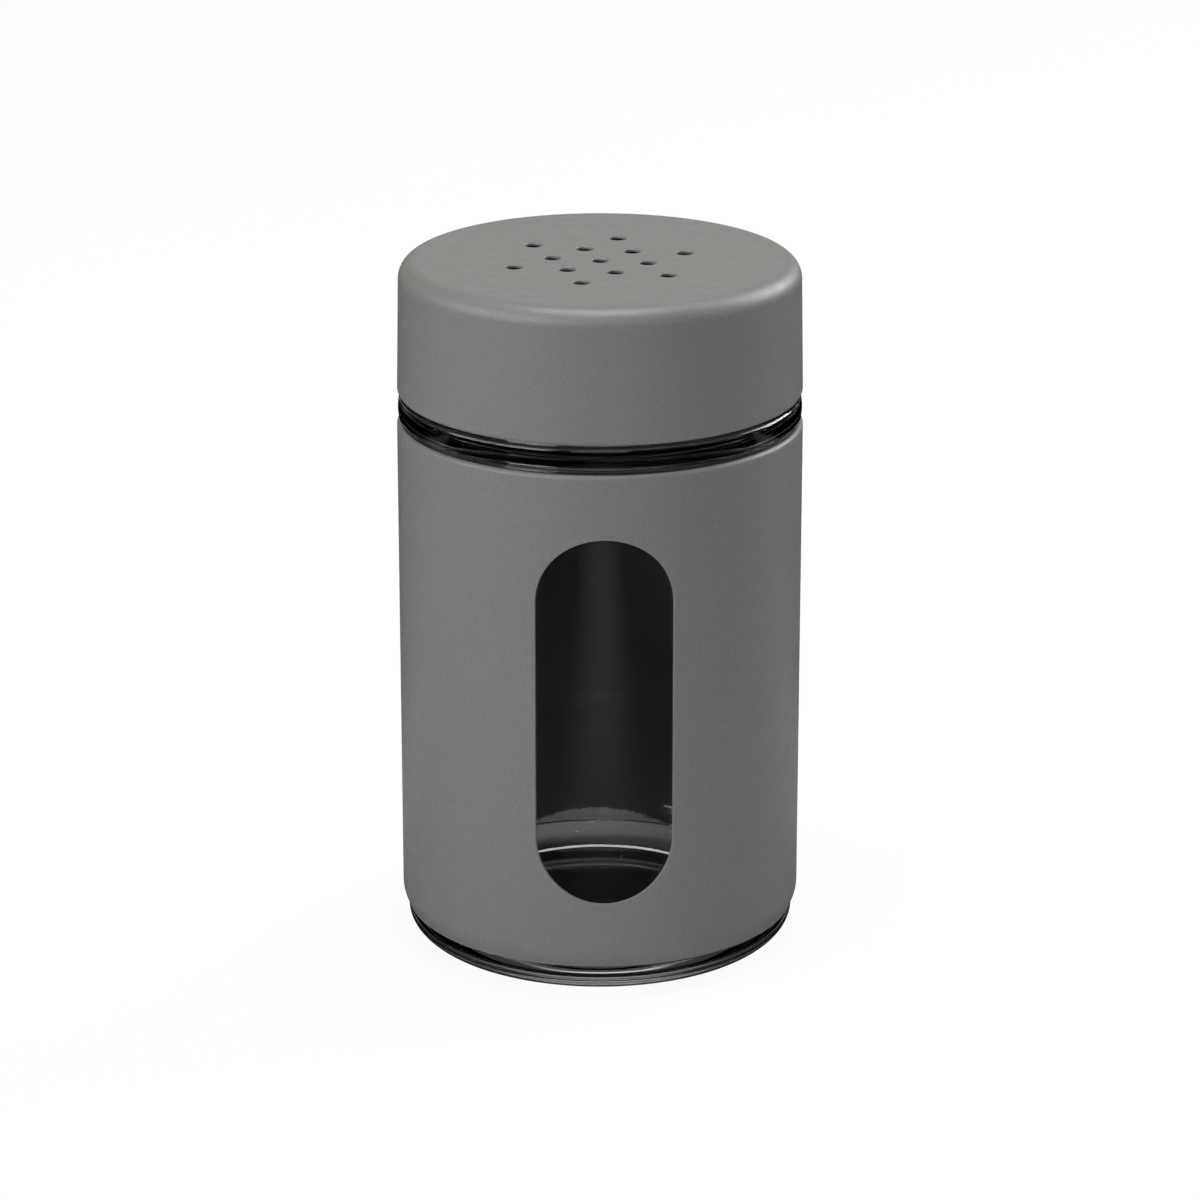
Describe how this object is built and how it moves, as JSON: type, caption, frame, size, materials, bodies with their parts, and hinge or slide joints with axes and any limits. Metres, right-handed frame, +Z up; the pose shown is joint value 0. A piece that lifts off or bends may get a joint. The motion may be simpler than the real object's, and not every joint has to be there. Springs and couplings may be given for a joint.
{
  "type": "parmesan shaker",
  "caption": "Clear glass jar in a grey coated steel sleeve with a long rounded window, closed by a screw cap pierced for shaking grated cheese.",
  "frame": {"origin": "on the table, at the middle of the ring that the glass jar stands on", "axes": "+Z up along the jar's axis, -Y out of the middle of the window, +X to the right of someone who looks at the window"},
  "size_m": [0.07, 0.07, 0.1223],
  "materials": {
    "clear_glass": "clear pressed glass, polished by the flame, with a faint mould line",
    "coated_sleeve": "warm mid-grey powder coat on thin steel sheet, matt with a fine grain",
    "coated_cap": "the same warm mid-grey powder coat on drawn steel sheet",
    "black_plastic": "black moulded polypropylene with a soft sheen",
    "seal_rubber": "milky translucent silicone, matt"
  },
  "bodies": {
    "jar": {"glass_jar": "clear_glass", "window_sleeve": "coated_sleeve"},
    "seal": {"seal_ring": "seal_rubber"},
    "cap": {"cap_shell": "coated_cap", "thread_insert": "black_plastic"}
  },
  "joints": [
    {"name": "cap_lift", "type": "slide", "parent": "jar", "child": "seal", "axis": [0, 0, 1], "range_m": [0, 0.02]},
    {"name": "cap_turn", "type": "hinge", "parent": "seal", "child": "cap", "pos_m": [0, 0, 0.1], "axis": [0, 0, 1], "range_deg": [0, 1440]}
  ],
  "couplings": [
    {"joint": "cap_lift", "follows": "cap_turn", "m_per_rad": 0.00079577}
  ]
}
